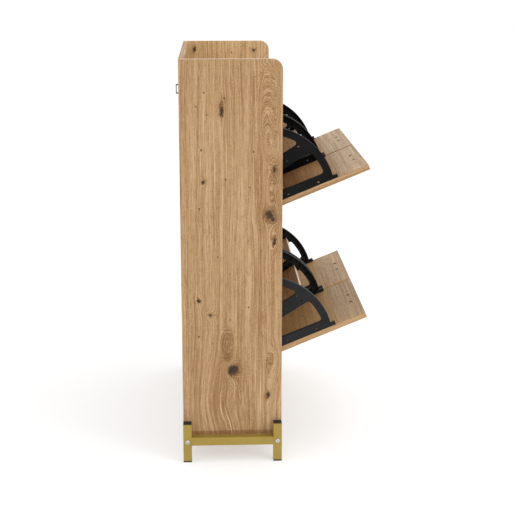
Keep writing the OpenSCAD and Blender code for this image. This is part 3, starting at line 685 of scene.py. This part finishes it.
def finish_carcass():
    """The fixed boards, the base and the fittings."""
    tube_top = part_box("crossbar_left")[1].z
    # the top faces get a painted highlight
    top = [(Z, 1)]
    left = oak("oak_side_left", Z, Y, OAK, 0.0, knots=PANEL_KNOTS, arches=PANEL_ARCHES,
               eyes=PANEL_EYES, pins=PANEL_PINS, strewn=False, highlit_sides=top, foot=tube_top)
    finish_nodes(["side_panel_left"], left, BOARD_EDGE)
    # painted light: the right side panel gets the paler copy of the oak
    right = oak("oak_side_right", Z, Y, LIT_OAK, 12.7, knots=RIGHT_KNOTS, highlit_sides=top,
                foot=tube_top)
    finish_nodes(["side_panel_right"], right, BOARD_EDGE)
    partition = oak("oak_partition", Z, Y, OAK, 5.1)
    finish_nodes(["partition_upper", "partition_lower"], partition, BOARD_EDGE)
    for count, name in enumerate(["top_board", "bottom_board", "mid_shelf", "cubby_shelf"]):
        finish_nodes([name], oak("oak_" + name, X, Y, OAK, 7.3 + 1.9 * count), BOARD_EDGE)
    for count, name in enumerate(["back_rail", "top_rail"]):
        finish_nodes([name], oak("oak_" + name, X, Z, OAK, 15.2 + 1.7 * count), BOARD_EDGE)
    finish_nodes(["back_panel"], raw_fibreboard("hardboard", OAK))
    finish_nodes(["dowels"], beech("beech_dowel"))

    tubes = [n for n in nodes if n.startswith(("leg_front", "leg_rear", "crossbar", "rail_"))]
    finish_nodes(tubes, gold_lacquer("gold_base"), 0.0012)
    black = moulded_plastic("black_insert", paint(28, 28, 29), 0.5)
    finish_nodes(["leg_plugs", "foot_pads"], black, 0.0006)
    finish_nodes(["pivot_bushes"], black)
    finish_nodes(["door_bumpers"], moulded_plastic("soft_bumper", paint(36, 36, 36), 0.75), 0.0005)
    zinc = metal("zinc_plate", paint(176, 176, 180), paint(214, 214, 216), 0.3)
    finish_nodes(["cam_fittings", "stop_pegs"], zinc, 0.0004)
    oxide = metal("black_oxide", paint(26, 26, 28), paint(50, 50, 53), 0.5, metallic=0.2)
    finish_nodes(["wall_brackets"], oxide, 0.0002)


def finish_drawers():
    """The pieces of the four drawers. Each has its own grain, and the lower row is painted lighter.
    """
    for count, drawer in enumerate(drawers):
        name = drawer.removesuffix("_drawer")
        look = LIGHT_OAK if name == "lower_right" else GREY_OAK
        # painted light: the upper row gets a darker copy of the frames' plastic and a deeper
        # painted shade on its doors
        if name.startswith("upper"):
            pocket_shade_tint, shade, gloss = paint(224, 198, 158), paint(9, 9, 10), 0.09
        else:
            pocket_shade_tint, shade, gloss = paint(255, 242, 208), paint(19, 20, 21), 0.2
        door = oak("oak_door_" + name, X, Z, look, 20.0 + 3.7 * count, drawer, pocket=FRAME_TOP,
                   pocket_shade_tint=pocket_shade_tint, bores=HANDLE_HOLES)
        finish_nodes([name + "_door"], door, BOARD_EDGE)
        # its upward-facing side gets a painted highlight
        shelf = oak("oak_mid_" + name, X, Z, OAK, 40.0 + 2.9 * count, drawer, highlit_sides=[(Z, 1)])
        finish_nodes([name + "_mid_board"], shelf, BOARD_EDGE)
        base = oak("oak_base_" + name, X, Y, OAK, 60.0 + 2.3 * count, drawer)
        finish_nodes([name + "_base_board"], base, BOARD_EDGE)
        plastic = moulded_plastic("black_frame_" + name, shade, 0.5, drawer, gloss)
        finish_nodes([name + "_frame_l", name + "_frame_r"], plastic, 0.0004)
        finish_nodes([name + "_handle"], gold_lacquer("gold_handle_" + name, drawer), 0.0008)
        bright = metal("pin_steel_" + name, paint(170, 170, 174), paint(206, 206, 208), 0.25,
                       drawer)
        finish_nodes([name + "_pivot_pins"], bright, 0.0003)


# ---- studio ----

def make_floor():
    """A round, pale studio floor, whose rings widen outwards."""
    rings, spokes, reach = 24, 96, 14.0
    mesh = bmesh.new()
    centre = mesh.verts.new((0, 0, 0))
    last = None
    for ring in range(1, rings + 1):
        radius = reach * (ring / rings) ** 2
        now = [mesh.verts.new((radius * math.cos(math.tau * k / spokes),
                               radius * math.sin(math.tau * k / spokes), 0)) for k in range(spokes)]
        for k in range(spokes):
            after = (k + 1) % spokes
            mesh.faces.new((centre, now[k], now[after]) if last is None
                           else (last[k], now[k], now[after], last[after]))
        last = now
    data = bpy.data.meshes.new("studio_floor")
    mesh.to_mesh(data)
    mesh.free()
    floor = bpy.data.objects.new("studio_floor", data)
    bpy.context.scene.collection.objects.link(floor)
    sheet = Sheet("studio_floor")
    point, _ = sheet.place()
    cloud = sheet.noise(point[X] * 3.0, point[Y] * 3.0, detail=2.0)
    colour = sheet.blend(cloud, paint(196, 196, 196), paint(198, 198, 198))
    data.materials.append(sheet.surface(colour, 0.7 + cloud * 0.1, Specular_IOR_Level=0.1,
                                        Emission_Strength=0.48))


def make_world():
    """Even white light from all sides."""
    world = bpy.data.worlds.new("white_room")
    bpy.context.scene.world = world
    world.use_nodes = True
    light = world.node_tree.nodes["Background"]
    light.inputs["Color"].default_value = (1.0, 1.0, 1.0, 1.0)
    light.inputs["Strength"].default_value = 1.0


def make_lamp(name, place, target, size, power):
    """A soft lamp. place and target are measured from the middle of the carcass."""
    lamp = bpy.data.lights.new(name, "AREA")
    lamp.shape = "RECTANGLE"
    lamp.size, lamp.size_y = size
    lamp.energy = power
    thing = bpy.data.objects.new(name, lamp)
    bpy.context.scene.collection.objects.link(thing)
    thing.location = Vector(place) + Vector((0, carcass_y, 0))
    thing.rotation_mode = "QUATERNION"
    thing.rotation_quaternion = (Vector(target) - Vector(place)).to_track_quat("-Z", "Y")


def make_camera():
    """Stands well to the left of the cabinet, looks along +X and slightly down at its side."""
    place = Vector((-3.662, carcass_y + 0.0623, 1.4592))
    turn, dip = -0.0422, -0.2232
    ahead = Vector((math.cos(dip) * math.cos(turn), math.cos(dip) * math.sin(turn), math.sin(dip)))
    lens = bpy.data.cameras.new("camera")
    lens.sensor_width = 36.0
    lens.lens = 80.87
    lens.shift_y = -0.06
    lens.clip_start, lens.clip_end = 0.05, 100.0
    camera = bpy.data.objects.new("camera", lens)
    bpy.context.scene.collection.objects.link(camera)
    camera.location = place
    camera.rotation_mode = "QUATERNION"
    camera.rotation_quaternion = ahead.to_track_quat("-Z", "Y")
    bpy.context.scene.camera = camera


finish_carcass()
finish_drawers()
make_fasteners()
make_floor()
make_world()
make_lamp("key", (-2.6, -3.0, 2.0), (0, 0, 0.6), (1.0, 1.4), 26)
make_lamp("overhead", (-0.6, -1.2, 3.6), (0, -0.1, 0.4), (2.4, 2.4), 22)
make_camera()
bpy.context.scene.view_settings.view_transform = "Standard"
